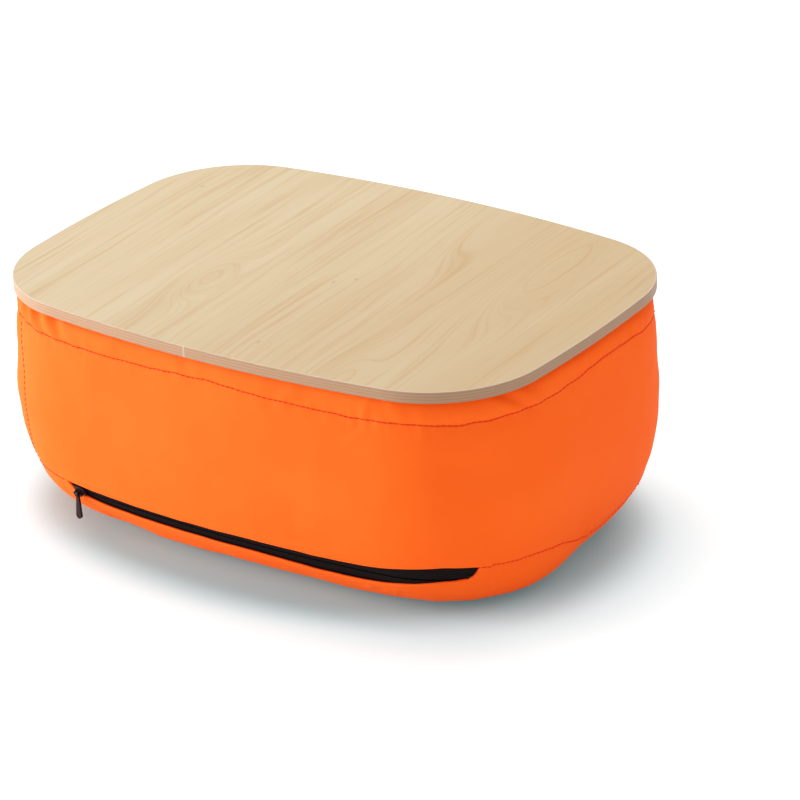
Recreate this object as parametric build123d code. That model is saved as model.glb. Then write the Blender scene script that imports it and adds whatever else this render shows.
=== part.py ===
from build123d import *
import os
from math import acos, asin, atan2, cos, degrees, hypot, radians, sin, sqrt

# A lap tray: a thin laminated board that lies on a cushion filled with beads.
# Millimetres. The origin is on the floor, under the middle of the tray.
# +X runs along the long side, +Z is up, and the zipper is on the -Y side.

# Board
tray_length = 360.0
tray_width = 260.0
tray_height = 150.0
tray_thickness = 7.0
tray_corner_radius = 69.5
tray_long_bow = 19.5
tray_short_bow = 9.5
laminate_thickness = 0.6
band_thickness = 0.9
band_edge_radius = 0.4
band_joint_gap = 0.2
band_joint_place = -12.0

# Hook and loop tapes between the board and the cushion
hook_thickness = 1.0
loop_thickness = 1.0
tape_corner_radius = 4.0
long_tape_length = 130.0
long_tape_width = 20.0
long_tape_place = 66.0
short_tape_length = 90.0
short_tape_width = 20.0
short_tape_place = 122.0

# Cushion, seen from above at its widest
cushion_length = 371.0
cushion_width = 262.0
cushion_corner_radius = 81.0
cushion_long_bow = 18.5
cushion_short_bow = 15.0

# Cushion, seen from the side: leans are degrees from upright. The widest share is how far up to the
# top seam the side is widest, and the top seam's drop is below the board's underside.
widest_share = 0.659
foot_radius = 43.0
foot_lean = 22.0
foot_seam_height = 33.5
top_seam_drop = 14.0
shoulder_lean = 7.0
shoulder_gap = 0.3
dish_radius = 38.0

# Cover, liner and seams
cloth_thickness = 0.8
liner_depth = 1.1
liner_thickness = 0.4
liner_seam_height = 62.0
fill_gap = 0.3
seam_gap = 0.7
thread_diameter = 0.6
thread_depth = 0.4
corner_seam_angle = 47.0
corner_thread_clearance = 0.3

# Zipper: places along it are measured from the middle of the front
window_height = 11.4
window_start = -117.0
window_end = 161.5
zipper_tape_start = -122.0
zipper_tape_end = 166.5
zipper_tape_depth = 0.9
zipper_tape_thickness = 0.6
zipper_tape_reach = 9.5
zipper_slit = 1.2
coil_start = -113.8
coil_end = 157.0
coil_width = 2.0
coil_height = 1.4
coil_clearance = 0.1
stop_length = 2.0
stop_width = 2.7
stop_wall = 0.4
stop_clearance = 0.05
stop_gap = 0.2
channel_clearance = 0.8

# Slider and pull
slider_rest = -109.0
slider_length = 9.0
slider_width = 8.0
slider_corner_radius = 2.6
slider_plate = 1.2
slider_clearance = 0.3
slider_flange = 0.8
slider_post_length = 3.2
slider_post_width = 0.6
bail_span = 5.4
bail_leg_length = 1.1
bail_leg_width = 1.5
bail_pin_diameter = 1.1
pull_eye_diameter = 1.8
pull_eye_wall = 0.9
pull_eye_width = 2.0
pull_length = 16.0
pull_width = 4.2
pull_neck_width = 2.0
pull_thickness = 1.4
pull_clearance = 0.3

# Worked out from the sizes above
tray_underside = tray_height - tray_thickness
shoulder_top = tray_underside - shoulder_gap
top_seam_height = tray_underside - top_seam_drop
widest_height = widest_share * top_seam_height
dish_height = tray_underside - hook_thickness - loop_thickness
foot_side_height = foot_radius * (1 - sin(radians(foot_lean)))
lower_side_radius = (widest_height - foot_side_height) / sin(radians(foot_lean))
upper_side_radius = (top_seam_height - widest_height) / sin(radians(shoulder_lean))
shoulder_radius = (shoulder_top - top_seam_height) / (1 - sin(radians(shoulder_lean)))
dish_turn = degrees(acos(1 - (shoulder_top - dish_height) / (2 * dish_radius)))
fill_depth = liner_depth + liner_thickness + fill_gap
overrun = cloth_thickness


class Outline:
    """A bowed rounded rectangle: eight arcs, each tangent to the next."""

    def __init__(self, length, width, corner_radius, long_bow, short_bow):
        half_length = length / 2
        half_width = width / 2
        long_radius = (half_length**2 + long_bow**2) / (2 * long_bow)
        short_radius = (half_width**2 + short_bow**2) / (2 * short_bow)
        long_centre = half_width - long_radius
        short_centre = half_length - short_radius
        # The corner arc touches both bows from inside, so its centre is where two circles meet.
        span = hypot(short_centre, long_centre)
        to_long = long_radius - corner_radius
        to_short = short_radius - corner_radius
        along = (span**2 + to_long**2 - to_short**2) / (2 * span)
        across = sqrt(to_long**2 - along**2)
        corner_x = (short_centre * along - long_centre * across) / span
        corner_y = long_centre + (-long_centre * along - short_centre * across) / span
        low = degrees(atan2(corner_y, corner_x - short_centre))
        high = degrees(atan2(corner_y - long_centre, corner_x))
        self.corner_x = corner_x
        self.corner_y = corner_y
        self.corner_radius = corner_radius
        self.long_radius = long_radius
        self.long_centre = long_centre
        self.front_half_angle = 90 - high
        # Each arc: centre x, centre y, radius, first angle, turn. They go round from the right side.
        self.arcs = [
            (short_centre, 0, short_radius, -low, 2 * low),
            (corner_x, corner_y, corner_radius, low, high - low),
            (0, long_centre, long_radius, high, 180 - 2 * high),
            (-corner_x, corner_y, corner_radius, 180 - high, high - low),
            (-short_centre, 0, short_radius, 180 - low, 2 * low),
            (-corner_x, -corner_y, corner_radius, 180 + low, high - low),
            (0, -long_centre, long_radius, 180 + high, 180 - 2 * high),
            (corner_x, -corner_y, corner_radius, 360 - high, high - low),
        ]

    def face(self, inset, height):
        """The flat shape inside the outline moved in by an inset."""
        edges = []
        for arc in self.arcs:
            turns = (arc[3], arc[3] + arc[4] / 2, arc[3] + arc[4])
            edges.append(ThreePointArc(*[plan_point(arc, turn, -inset, height) for turn in turns]))
        return make_face(edges)

    def plate(self, inset, low, high):
        """A flat plate of this outline between two heights."""
        return extrude(self.face(inset, low), high - low, (0, 0, 1))

    def front_run(self, inset, start, end):
        """The arcs between two places along the front, measured from its middle."""
        parts = []
        corner_pitch = self.corner_radius - inset
        front_pitch = self.long_radius - inset
        front_reach = front_pitch * radians(self.front_half_angle)
        left, front, right = self.arcs[5:8]
        if start < -front_reach:
            first = left[3] + left[4] - degrees((-front_reach - start) / corner_pitch)
            last = left[3] + left[4] - degrees((-front_reach - min(end, -front_reach)) / corner_pitch)
            parts.append(left[:3] + (first, last - first))
        if start < front_reach and end > -front_reach:
            first = 270 + degrees(max(start, -front_reach) / front_pitch)
            last = 270 + degrees(min(end, front_reach) / front_pitch)
            parts.append(front[:3] + (first, last - first))
        if end > front_reach:
            first = right[3] + degrees((max(start, front_reach) - front_reach) / corner_pitch)
            last = right[3] + degrees((end - front_reach) / corner_pitch)
            parts.append(right[:3] + (first, last - first))
        return parts


def plan_point(arc, turn, out, height):
    """A point at an angle of an arc, some way out from it, at a height."""
    reach = arc[2] + out
    return Vector(arc[0] + reach * cos(radians(turn)), arc[1] + reach * sin(radians(turn)), height)


tray = Outline(tray_length, tray_width, tray_corner_radius, tray_long_bow, tray_short_bow)
cushion = Outline(
    cushion_length, cushion_width, cushion_corner_radius, cushion_long_bow, cushion_short_bow
)


# The cushion's side seen edge on, from the floor up, as arcs that meet smoothly. A point there is
# (out from the widest outline, height). Each bend: centre, radius, and the lean at each end.
# A negative radius is a hollow, whose centre is outside the cloth.
foot_centre_out = -(
    lower_side_radius * (1 - cos(radians(foot_lean))) + foot_radius * cos(radians(foot_lean))
)
shoulder_start_out = -upper_side_radius * (1 - cos(radians(shoulder_lean)))
shoulder_centre_out = shoulder_start_out - shoulder_radius * cos(radians(shoulder_lean))
dish_shoulder_height = shoulder_top - dish_radius
dish_edge_out = shoulder_centre_out - 2 * dish_radius * sin(radians(dish_turn))
bends = [
    ((foot_centre_out, foot_radius), foot_radius, -90, -foot_lean),
    ((-lower_side_radius, widest_height), lower_side_radius, -foot_lean, 0),
    ((-upper_side_radius, widest_height), upper_side_radius, 0, shoulder_lean),
    ((shoulder_centre_out, shoulder_top - shoulder_radius), shoulder_radius, shoulder_lean, 90),
    ((shoulder_centre_out, dish_shoulder_height), dish_radius, 90, 90 + dish_turn),
    ((dish_edge_out, dish_height + dish_radius), -dish_radius, 90 + dish_turn, 90),
]
foot_flat = (0, -90)
top_flat = (5, 90)
plate_inset = -foot_centre_out


def bend_point(index, lean, depth):
    """A point on the side at a lean, at a depth under the face of the cloth."""
    centre, radius = bends[index][:2]
    reach = radius - depth
    return (centre[0] + reach * cos(radians(lean)), centre[1] + reach * sin(radians(lean)))


def stretch(depth, start, end):
    """The arcs of the side between two places, each a bend and a lean."""
    pieces = []
    for index in range(start[0], end[0] + 1):
        first = start[1] if index == start[0] else bends[index][2]
        last = end[1] if index == end[0] else bends[index][3]
        leans = (first, (first + last) / 2, last)
        pieces.append(tuple(bend_point(index, lean, depth) for lean in leans))
    return pieces


def backward(pieces):
    return [piece[::-1] for piece in pieces[::-1]]


def corner(out, height):
    return [((out, height),)]


def closed(*chains):
    """One closed shape from chains of arcs and corners, joined by straight lines."""
    pieces = []
    for chain, following in zip(chains, chains[1:] + chains[:1]):
        pieces += [piece for piece in chain if len(piece) > 1]
        pieces.append((chain[-1][-1], following[0][0]))
    return pieces


def round_section(centre, radius):
    """A circle as two half arcs."""
    out, height = centre
    left = (out - radius, height)
    right = (out + radius, height)
    return [(left, (out, height + radius), right), (right, (out, height - radius), left)]


def section_face(arc, pieces):
    """A shape drawn in the upright plane at the first angle of an arc."""
    edges = []
    for piece in pieces:
        points = [plan_point(arc, arc[3], out, height) for out, height in piece]
        edges.append(Line(*points) if len(points) == 2 else ThreePointArc(*points))
    return make_face(edges)


def swept(pieces, arcs):
    """A shape carried round the arcs of an outline, as one solid."""
    turns = []
    for arc in arcs:
        axis = Axis((arc[0], arc[1], 0), (0, 0, 1))
        turns.append(revolve(section_face(arc, pieces), axis, arc[4]))
    return fused(turns)


def fused(solids):
    whole = solids[0]
    for solid in solids[1:]:
        whole = whole + solid
    return whole


def lean_at_height(height, depth):
    """Where the lower side passes a height."""
    return -degrees(asin((widest_height - height) / (lower_side_radius - depth)))


def lean_step(length, radius):
    return degrees(length / radius)


# The zipper lies in a band just under the foot seam. Across it, places are measured up along the
# cloth from its middle line, and out from the cloth.
foot_seam_lean = lean_at_height(foot_seam_height, 0)
zipper_lean = foot_seam_lean - lean_step(window_height / 2, lower_side_radius)
zipper_out, zipper_height = bend_point(1, zipper_lean, 0)


def zipper_point(up, out):
    lean = radians(zipper_lean)
    return (
        zipper_out + out * cos(lean) - up * sin(lean),
        zipper_height + out * sin(lean) + up * cos(lean),
    )


def zipper_place(up):
    """The place on the side, a bend and a lean, that is some way up from the zipper's middle."""
    lean = zipper_lean + lean_step(up, lower_side_radius)
    if lean >= -foot_lean:
        return (1, lean)
    to_foot = lower_side_radius * radians(zipper_lean + foot_lean)
    return (0, -foot_lean - lean_step(-up - to_foot, foot_radius))


def zipper_band(low, high, inner, outer):
    """A four-cornered section across the zipper."""
    return closed(
        corner(*zipper_point(low, outer)),
        corner(*zipper_point(low, inner)),
        corner(*zipper_point(high, inner)),
        corner(*zipper_point(high, outer)),
    )


def zipper_run(start, end):
    return cushion.front_run(-zipper_out, start, end)


def zipper_plane(place):
    """X along the zipper, Y up along the cloth, Z out of it."""
    arc = zipper_run(place, place + slider_length)[0]
    turn = arc[3]
    lean = radians(zipper_lean)
    origin = plan_point(arc, turn, zipper_out, zipper_height)
    along = (-sin(radians(turn)), cos(radians(turn)), 0)
    outward = (cos(radians(turn)) * cos(lean), sin(radians(turn)) * cos(lean), sin(lean))
    return Plane(origin, x_dir=along, z_dir=outward)


def block(length, width, low, high):
    """A block on the middle of its plane, between two heights."""
    return extrude(Rectangle(length, width), high - low).moved(Location((0, 0, low)))


# Board


def tray_core():
    low = tray_underside + laminate_thickness
    return tray.plate(band_thickness, low, tray_height - laminate_thickness)


def top_laminate():
    return tray.plate(band_thickness, tray_height - laminate_thickness, tray_height)


def bottom_laminate():
    return tray.plate(band_thickness, tray_underside, tray_underside + laminate_thickness)


def edge_band():
    """A strip glued round the board, with rounded outer edges and a butt joint at the front."""
    bite = band_edge_radius * (1 - sin(radians(45)))
    lower = tray_underside + band_edge_radius
    upper = tray_height - band_edge_radius
    section = closed(
        corner(-band_thickness, tray_underside),
        [((-band_edge_radius, tray_underside), (-bite, tray_underside + bite), (0, lower))],
        [((0, upper), (-bite, tray_height - bite), (-band_edge_radius, tray_height))],
        corner(-band_thickness, tray_height),
    )
    cutter = block(band_joint_gap, 4 * band_thickness, tray_underside - overrun, tray_height + overrun)
    depth = sqrt(tray.long_radius**2 - band_joint_place**2)
    cutter = cutter.moved(Location((band_joint_place, -tray.long_centre - depth, 0)))
    return swept(section, tray.arcs) - cutter


def fastening_tapes(low, high):
    """Four flat strips: two along the board and two across it."""
    long_strip = extrude(
        RectangleRounded(long_tape_length, long_tape_width, tape_corner_radius), high - low
    )
    short_strip = extrude(
        RectangleRounded(short_tape_width, short_tape_length, tape_corner_radius), high - low
    )
    return {
        "front": long_strip.moved(Location((0, -long_tape_place, low))),
        "back": long_strip.moved(Location((0, long_tape_place, low))),
        "left": short_strip.moved(Location((-short_tape_place, 0, low))),
        "right": short_strip.moved(Location((short_tape_place, 0, low))),
    }


# Cover


def cover_top_panel():
    """The padded shoulder and the shallow dish that the board lies over."""
    start = (3, shoulder_lean + lean_step(seam_gap / 2, shoulder_radius))
    inner = dish_height - cloth_thickness
    section = closed(
        stretch(0, start, top_flat),
        corner(-plate_inset, dish_height),
        corner(-plate_inset, inner),
        backward(stretch(cloth_thickness, start, top_flat)),
    )
    return swept(section, cushion.arcs) + cushion.plate(plate_inset, inner, dish_height)


def cover_side_panel():
    """One strip right round the side, joined end to end at the front left corner."""
    start = (1, foot_seam_lean + lean_step(seam_gap / 2, lower_side_radius))
    end = (2, shoulder_lean - lean_step(seam_gap / 2, upper_side_radius))
    section = closed(
        stretch(0, start, end),
        backward(stretch(cloth_thickness, start, end)),
    )
    slit = Box(2 * cushion_corner_radius, seam_gap, tray_height)
    slit = slit.moved(Location((cushion_corner_radius, 0, tray_height / 2)))
    turn = Location((-cushion.corner_x, -cushion.corner_y, 0), (0, 0, 180 + corner_seam_angle))
    return swept(section, cushion.arcs) - slit.moved(turn)


def cover_bottom_panel():
    """The rounded foot and the flat that rests on the lap, open along the zipper."""
    end = (1, foot_seam_lean - lean_step(seam_gap / 2, lower_side_radius))
    section = closed(
        stretch(0, foot_flat, end),
        backward(stretch(cloth_thickness, foot_flat, end)),
    )
    half = window_height / 2
    opening = zipper_band(-half, half + overrun, -cloth_thickness - overrun, overrun)
    window = swept(opening, zipper_run(window_start, window_end))
    foot = swept(section, cushion.arcs) + cushion.plate(plate_inset, 0, cloth_thickness)
    return foot - window


# Seams


def seam_thread_top():
    centre = bend_point(3, shoulder_lean, thread_depth)
    return swept(round_section(centre, thread_diameter / 2), cushion.arcs)


def seam_thread_bottom():
    """The foot seam's stitching, from the zipper's right end round the back to its left end."""
    centre = bend_point(1, foot_seam_lean, thread_depth)
    section = round_section(centre, thread_diameter / 2)
    left, front, right = zipper_run(window_start, window_end)
    whole_right = cushion.arcs[7]
    right_end = right[3] + right[4]
    rest_of_right = whole_right[:3] + (right_end, whole_right[3] + whole_right[4] - right_end)
    whole_left = cushion.arcs[5]
    rest_of_left = whole_left[:4] + (left[3] - whole_left[3],)
    return swept(section, [rest_of_right] + cushion.arcs[:5] + [rest_of_left])


def seam_thread_corner():
    """The upright seam where the side panel's ends meet."""
    low = foot_seam_lean + lean_step(seam_gap / 2 + corner_thread_clearance, lower_side_radius)
    high = shoulder_lean - lean_step(seam_gap / 2 + corner_thread_clearance, upper_side_radius)
    arc = cushion.arcs[5][:3] + (180 + corner_seam_angle, 0)
    edges = []
    for piece in stretch(thread_depth, (1, low), (2, high)):
        points = [plan_point(arc, arc[3], out, height) for out, height in piece]
        edges.append(ThreePointArc(*points))
    path = Wire([edge.edge() for edge in edges])
    start = Plane(path @ 0, z_dir=path % 0)
    return sweep(start * Circle(thread_diameter / 2), path=path)


# Zipper


def zipper_tape(start, end):
    outer = zipper_tape_depth
    inner = zipper_tape_depth + zipper_tape_thickness
    section = closed(
        stretch(outer, zipper_place(start), zipper_place(end)),
        backward(stretch(inner, zipper_place(start), zipper_place(end))),
    )
    return swept(section, zipper_run(zipper_tape_start, zipper_tape_end))


def zipper_tape_upper():
    return zipper_tape(zipper_slit / 2, zipper_tape_reach)


def zipper_tape_lower():
    return zipper_tape(-zipper_tape_reach, -zipper_slit / 2)


coil_top = -(zipper_tape_depth + zipper_tape_thickness + coil_clearance)
coil_bottom = coil_top - coil_height


def zipper_coil(side):
    """The row of teeth behind one tape, as the bar that its coil fills."""
    near = side * zipper_slit / 2
    far = side * (zipper_slit / 2 + coil_width)
    section = zipper_band(min(near, far), max(near, far), coil_bottom, coil_top)
    return swept(section, zipper_run(coil_start, coil_end))


stop_slot_top = -zipper_tape_depth + stop_clearance
stop_slot_bottom = -zipper_tape_depth - zipper_tape_thickness - stop_clearance


def zipper_top_stop(side):
    """A small metal clip over the end of one tape's edge."""
    low = stop_slot_bottom - stop_wall
    high = stop_slot_top + stop_wall
    near = (zipper_slit / 2 - stop_clearance - stop_wall) * side
    middle = near + stop_width / 2 * side
    clip = block(stop_length, stop_width, low, high)
    slot = block(2 * stop_length, stop_width, stop_slot_bottom, stop_slot_top)
    clip = clip - slot.moved(Location((0, stop_wall * side, 0)))
    place = coil_start - stop_gap - stop_length / 2
    return zipper_plane(place) * clip.moved(Location((0, middle, 0)))


def zipper_bottom_stop():
    """A metal clip that holds both tapes together at the closed end."""
    low = stop_slot_bottom - stop_wall
    high = stop_slot_top + stop_wall
    clip = block(stop_length, 2 * stop_width, low, high)
    reach = stop_width
    for side in (-1, 1):
        slot = block(2 * stop_length, reach, stop_slot_bottom, stop_slot_top)
        edge = zipper_slit / 2 - stop_clearance
        clip = clip - slot.moved(Location((0, side * (edge + reach / 2), 0)))
    place = coil_end + stop_gap + stop_length / 2
    return zipper_plane(place) * clip


# Slider and pull
slider_under = -zipper_tape_depth + slider_clearance
slider_top = slider_under + slider_plate
slider_wing_top = coil_bottom - slider_clearance
slider_bottom = slider_wing_top - slider_plate
pin_radius = bail_pin_diameter / 2
pull_eye_radius = pull_eye_diameter / 2 + pull_eye_wall
pin_height = slider_top + pull_clearance + pull_eye_radius


def zipper_slider():
    """A cast slider: a plate each side of the tapes, a post between them and a bail for the pull."""
    shape = RectangleRounded(slider_length, slider_width, slider_corner_radius)
    plate = extrude(shape, slider_plate)
    outer = plate.moved(Location((0, 0, slider_under)))
    inner = plate.moved(Location((0, 0, slider_bottom)))
    post = block(slider_post_length, slider_post_width, slider_wing_top, slider_under)
    body = outer + inner + post
    flange_length = slider_length - 2 * slider_corner_radius
    flange_top = -(zipper_tape_depth + zipper_tape_thickness + slider_clearance)
    flange = block(flange_length, slider_flange, slider_wing_top, flange_top)
    for side in (-1, 1):
        body = body + flange.moved(Location((0, side * (slider_width - slider_flange) / 2, 0)))
    leg = block(bail_leg_length, bail_leg_width, slider_top, pin_height + pin_radius)
    for side in (-1, 1):
        body = body + leg.moved(Location((side * bail_span / 2, 0, 0)))
    pin = Cylinder(pin_radius, bail_span).moved(Location((0, 0, pin_height), (0, 90, 0)))
    return zipper_plane(slider_rest) * (body + pin)


def pull_plane():
    """X along the bail's pin and Y straight up, so that the pull hangs down from it."""
    plane = zipper_plane(slider_rest)
    outward = Vector(plane.z_dir.X, plane.z_dir.Y, 0).normalized()
    return Plane(plane.origin + plane.z_dir * pin_height, x_dir=plane.x_dir, z_dir=outward)


def zipper_pull():
    """A teardrop tag that hangs on the bail by its eye."""
    bulb = Circle(pull_width / 2).moved(Location((0, pull_width / 2 - pull_length, 0)))
    neck = Circle(pull_neck_width / 2).moved(Location((0, -pull_eye_radius, 0)))
    outline = make_hull([edge for edge in bulb.edges() + neck.edges()])
    tag = extrude(outline, pull_thickness / 2, both=True)
    eye = Cylinder(pull_eye_radius, pull_eye_width).moved(Location((0, 0, 0), (0, 90, 0)))
    hole = Cylinder(pull_eye_diameter / 2, 2 * pull_width).moved(Location((0, 0, 0), (0, 90, 0)))
    return pull_plane() * (tag + eye - hole)


# Liner and fill
channel_half = zipper_tape_reach + channel_clearance
channel_depth = -slider_bottom + channel_clearance


def channel(grow):
    """The room behind the zipper that the liner is pressed in by."""
    reach = channel_half + grow
    section = zipper_band(-reach, reach, -channel_depth - grow, channel_half)
    start = zipper_tape_start - channel_clearance - grow
    end = zipper_tape_end + channel_clearance + grow
    return swept(section, zipper_run(start, end))


def lower_bag(depth, top):
    """The cushion's lower part as a solid, at a depth under the cloth's face."""
    section = closed(
        stretch(depth, foot_flat, (1, lean_at_height(top, depth))),
        corner(-plate_inset, top),
    )
    return swept(section, cushion.arcs) + cushion.plate(plate_inset, depth, top)


def liner_upper():
    outer = liner_depth
    inner = liner_depth + liner_thickness
    low_outer = (1, lean_at_height(liner_seam_height, outer))
    low_inner = (1, lean_at_height(liner_seam_height, inner))
    section = closed(
        stretch(outer, low_outer, top_flat),
        corner(-plate_inset, dish_height - outer),
        corner(-plate_inset, dish_height - inner),
        backward(stretch(inner, low_inner, top_flat)),
    )
    dish = cushion.plate(plate_inset, dish_height - inner, dish_height - outer)
    return swept(section, cushion.arcs) + dish


def liner_lower():
    outside = lower_bag(liner_depth, liner_seam_height) - channel(0)
    inside = lower_bag(liner_depth + liner_thickness, liner_seam_height + overrun)
    return outside - (inside - channel(liner_thickness))


def bead_fill():
    section = closed(
        stretch(fill_depth, foot_flat, top_flat),
        corner(-plate_inset, dish_height - fill_depth),
    )
    core = cushion.plate(plate_inset, fill_depth, dish_height - fill_depth)
    return swept(section, cushion.arcs) + core - channel(liner_thickness + fill_gap)


def pieces():
    """Every piece of the lap tray, by name."""
    named = {
        "tray_core": tray_core(),
        "top_laminate": top_laminate(),
        "bottom_laminate": bottom_laminate(),
        "edge_band": edge_band(),
        "cover_top_panel": cover_top_panel(),
        "cover_side_panel": cover_side_panel(),
        "cover_bottom_panel": cover_bottom_panel(),
        "seam_thread_top": seam_thread_top(),
        "seam_thread_bottom": seam_thread_bottom(),
        "seam_thread_corner": seam_thread_corner(),
        "zipper_tape_upper": zipper_tape_upper(),
        "zipper_tape_lower": zipper_tape_lower(),
        "zipper_coil_upper": zipper_coil(1),
        "zipper_coil_lower": zipper_coil(-1),
        "zipper_top_stop_upper": zipper_top_stop(1),
        "zipper_top_stop_lower": zipper_top_stop(-1),
        "zipper_bottom_stop": zipper_bottom_stop(),
        "zipper_slider": zipper_slider(),
        "zipper_pull": zipper_pull(),
        "liner_upper": liner_upper(),
        "liner_lower": liner_lower(),
        "bead_fill": bead_fill(),
    }
    hooks = fastening_tapes(tray_underside - hook_thickness, tray_underside)
    loops = fastening_tapes(dish_height, dish_height + loop_thickness)
    for side in hooks:
        named["hook_tape_" + side] = hooks[side]
        named["loop_tape_" + side] = loops[side]
    return named


os.makedirs("parts", exist_ok=True)
for name, shape in pieces().items():
    export_step(shape, "parts/" + name + ".step")

pivot = pull_plane().origin
print("zipper turns about", 0, round(-cushion.long_centre, 3))
print("pull hangs at", [round(value, 3) for value in (pivot.X, pivot.Y, pivot.Z)])
print("pull turns about", [round(value, 4) for value in pull_plane().x_dir])
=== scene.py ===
from math import acos, asin, atan2, cos, exp, hypot, log, pi, radians, sin, sqrt

import bpy
import numpy as np
from mathutils import Matrix, Vector


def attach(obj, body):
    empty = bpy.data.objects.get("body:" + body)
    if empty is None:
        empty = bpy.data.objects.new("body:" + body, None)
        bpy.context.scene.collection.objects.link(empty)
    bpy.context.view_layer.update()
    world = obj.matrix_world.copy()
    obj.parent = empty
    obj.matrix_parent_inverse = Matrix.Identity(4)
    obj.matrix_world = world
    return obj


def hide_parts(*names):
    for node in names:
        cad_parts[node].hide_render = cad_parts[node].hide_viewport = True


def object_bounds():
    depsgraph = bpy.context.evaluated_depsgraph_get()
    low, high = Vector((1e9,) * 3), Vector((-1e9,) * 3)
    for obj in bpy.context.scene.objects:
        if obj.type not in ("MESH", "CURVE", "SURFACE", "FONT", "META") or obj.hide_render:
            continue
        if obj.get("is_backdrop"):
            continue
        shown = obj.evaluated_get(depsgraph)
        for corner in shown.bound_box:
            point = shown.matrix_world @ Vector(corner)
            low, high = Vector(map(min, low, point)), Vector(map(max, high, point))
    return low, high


# A lap tray: a thin maple board on a cushion filled with beads, in a zipped orange cover.
# Metres. The origin is on the floor under the middle of the board, and the zipper is on the -Y side.
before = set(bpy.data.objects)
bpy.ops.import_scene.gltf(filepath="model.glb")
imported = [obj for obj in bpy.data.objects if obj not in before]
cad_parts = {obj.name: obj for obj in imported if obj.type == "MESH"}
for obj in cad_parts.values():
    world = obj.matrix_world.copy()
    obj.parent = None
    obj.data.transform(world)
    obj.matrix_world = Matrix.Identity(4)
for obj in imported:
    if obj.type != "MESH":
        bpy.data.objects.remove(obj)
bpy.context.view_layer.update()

# The board's face: maple veneer pressed on a plywood core and sealed with a thin satin lacquer.
# The grain runs across the board, with a long eye on the left and three flames on the right.
maple_pale = (235, 215, 178)
maple_tan = (223, 194, 149)
maple_line = (212, 168, 112)
maple_pin = (172, 124, 82)
maple_roughness = 0.42
maple_relief = 0.00003
pin_fade = (0.0003, 0.0011)
maple_pins = ((0.010, -0.013), (0.019, -0.003), (-0.147, 0.070), (0.022, -0.104))
# Each figure bends the grain round a heart: where the heart is, how wide and long, and how strongly.
maple_figures = (
    (-0.063, -0.043, 0.012, 0.036, 0.030),
    (0.047, 0.150, 0.014, 0.105, 0.034),
    (0.113, 0.070, 0.014, 0.080, 0.038),
    (0.080, -0.120, 0.011, 0.035, 0.022),
)
ring_pitch = 0.0036
maple_lean = 0.06
maple_wander = 0.010
maple_waver = 0.0014


def shade(red, green, blue):
    """A colour from 0 to 255 as the linear colour that a shader takes."""
    parts = []
    for value in (red, green, blue):
        share = value / 255
        parts.append(share / 12.92 if share <= 0.04045 else ((share + 0.055) / 1.055) ** 2.4)
    return (*parts, 1.0)


def add_node(tree, kind, inputs=None, **settings):
    """A node with its settings. Each input takes a value or another node's output."""
    node = tree.nodes.new(kind)
    for name, value in settings.items():
        setattr(node, name, value)
    for name, value in (inputs or {}).items():
        if isinstance(value, bpy.types.NodeSocket):
            tree.links.new(value, node.inputs[name])
        else:
            node.inputs[name].default_value = value
    return node


def new_finish(name, values):
    """A material with one shader, and the values that are the same all over it."""
    finish = bpy.data.materials.new(name)
    finish.use_nodes = True
    tree = finish.node_tree
    tree.nodes.clear()
    shader = add_node(tree, "ShaderNodeBsdfPrincipled", values)
    add_node(tree, "ShaderNodeOutputMaterial", {"Surface": shader.outputs["BSDF"]})
    return finish, tree, shader


def calc(tree, operation, *values):
    """The result of a Math node."""
    return add_node(tree, "ShaderNodeMath", dict(enumerate(values)), operation=operation).outputs[0]


def span(tree, value, low, high, start=0.0, end=1.0):
    """A value carried smoothly from one range to another."""
    ends = {"Value": value, "From Min": low, "From Max": high, "To Min": start, "To Max": end}
    return add_node(tree, "ShaderNodeMapRange", ends, interpolation_type="SMOOTHSTEP").outputs["Result"]


def mix(tree, share, first, second):
    """Two colours mixed by a share."""
    inputs = {0: share, 6: first, 7: second}
    return add_node(tree, "ShaderNodeMix", inputs, data_type="RGBA").outputs[2]


def place(tree):
    """The place on the piece in metres."""
    return add_node(tree, "ShaderNodeTexCoord").outputs["Object"]


def stretched(tree, vector, x, y, z):
    """A place with each direction scaled by itself."""
    inputs = {0: vector, 1: (x, y, z)}
    return add_node(tree, "ShaderNodeVectorMath", inputs, operation="MULTIPLY").outputs[0]


def cloud(tree, vector, detail=2.0, roughness=0.5):
    """Irregular noise around a half."""
    inputs = {"Vector": vector, "Scale": 1.0, "Detail": detail, "Roughness": roughness}
    return add_node(tree, "ShaderNodeTexNoise", inputs).outputs["Fac"]


def surfaced(tree, shader, colour, height, depth, strength=1.0):
    """A colour and a relief of a real depth on a shader."""
    inputs = {"Height": height, "Distance": depth, "Strength": strength}
    bump = add_node(tree, "ShaderNodeBump", inputs)
    tree.links.new(colour, shader.inputs["Base Color"])
    tree.links.new(bump.outputs["Normal"], shader.inputs["Normal"])


def new_group(name, inputs, outputs):
    """An empty node group with named sockets, given as name and socket type."""
    group = bpy.data.node_groups.new(name, "ShaderNodeTree")
    for socket, kind in inputs:
        group.interface.new_socket(socket, in_out="INPUT", socket_type=kind)
    for socket, kind in outputs:
        group.interface.new_socket(socket, in_out="OUTPUT", socket_type=kind)
    return group, group.nodes.new("NodeGroupInput"), group.nodes.new("NodeGroupOutput")


def grouped(tree, group, *values):
    """What a node group gives, its inputs taken in order."""
    return add_node(tree, "ShaderNodeGroup", dict(enumerate(values)), node_tree=group).outputs


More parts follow.
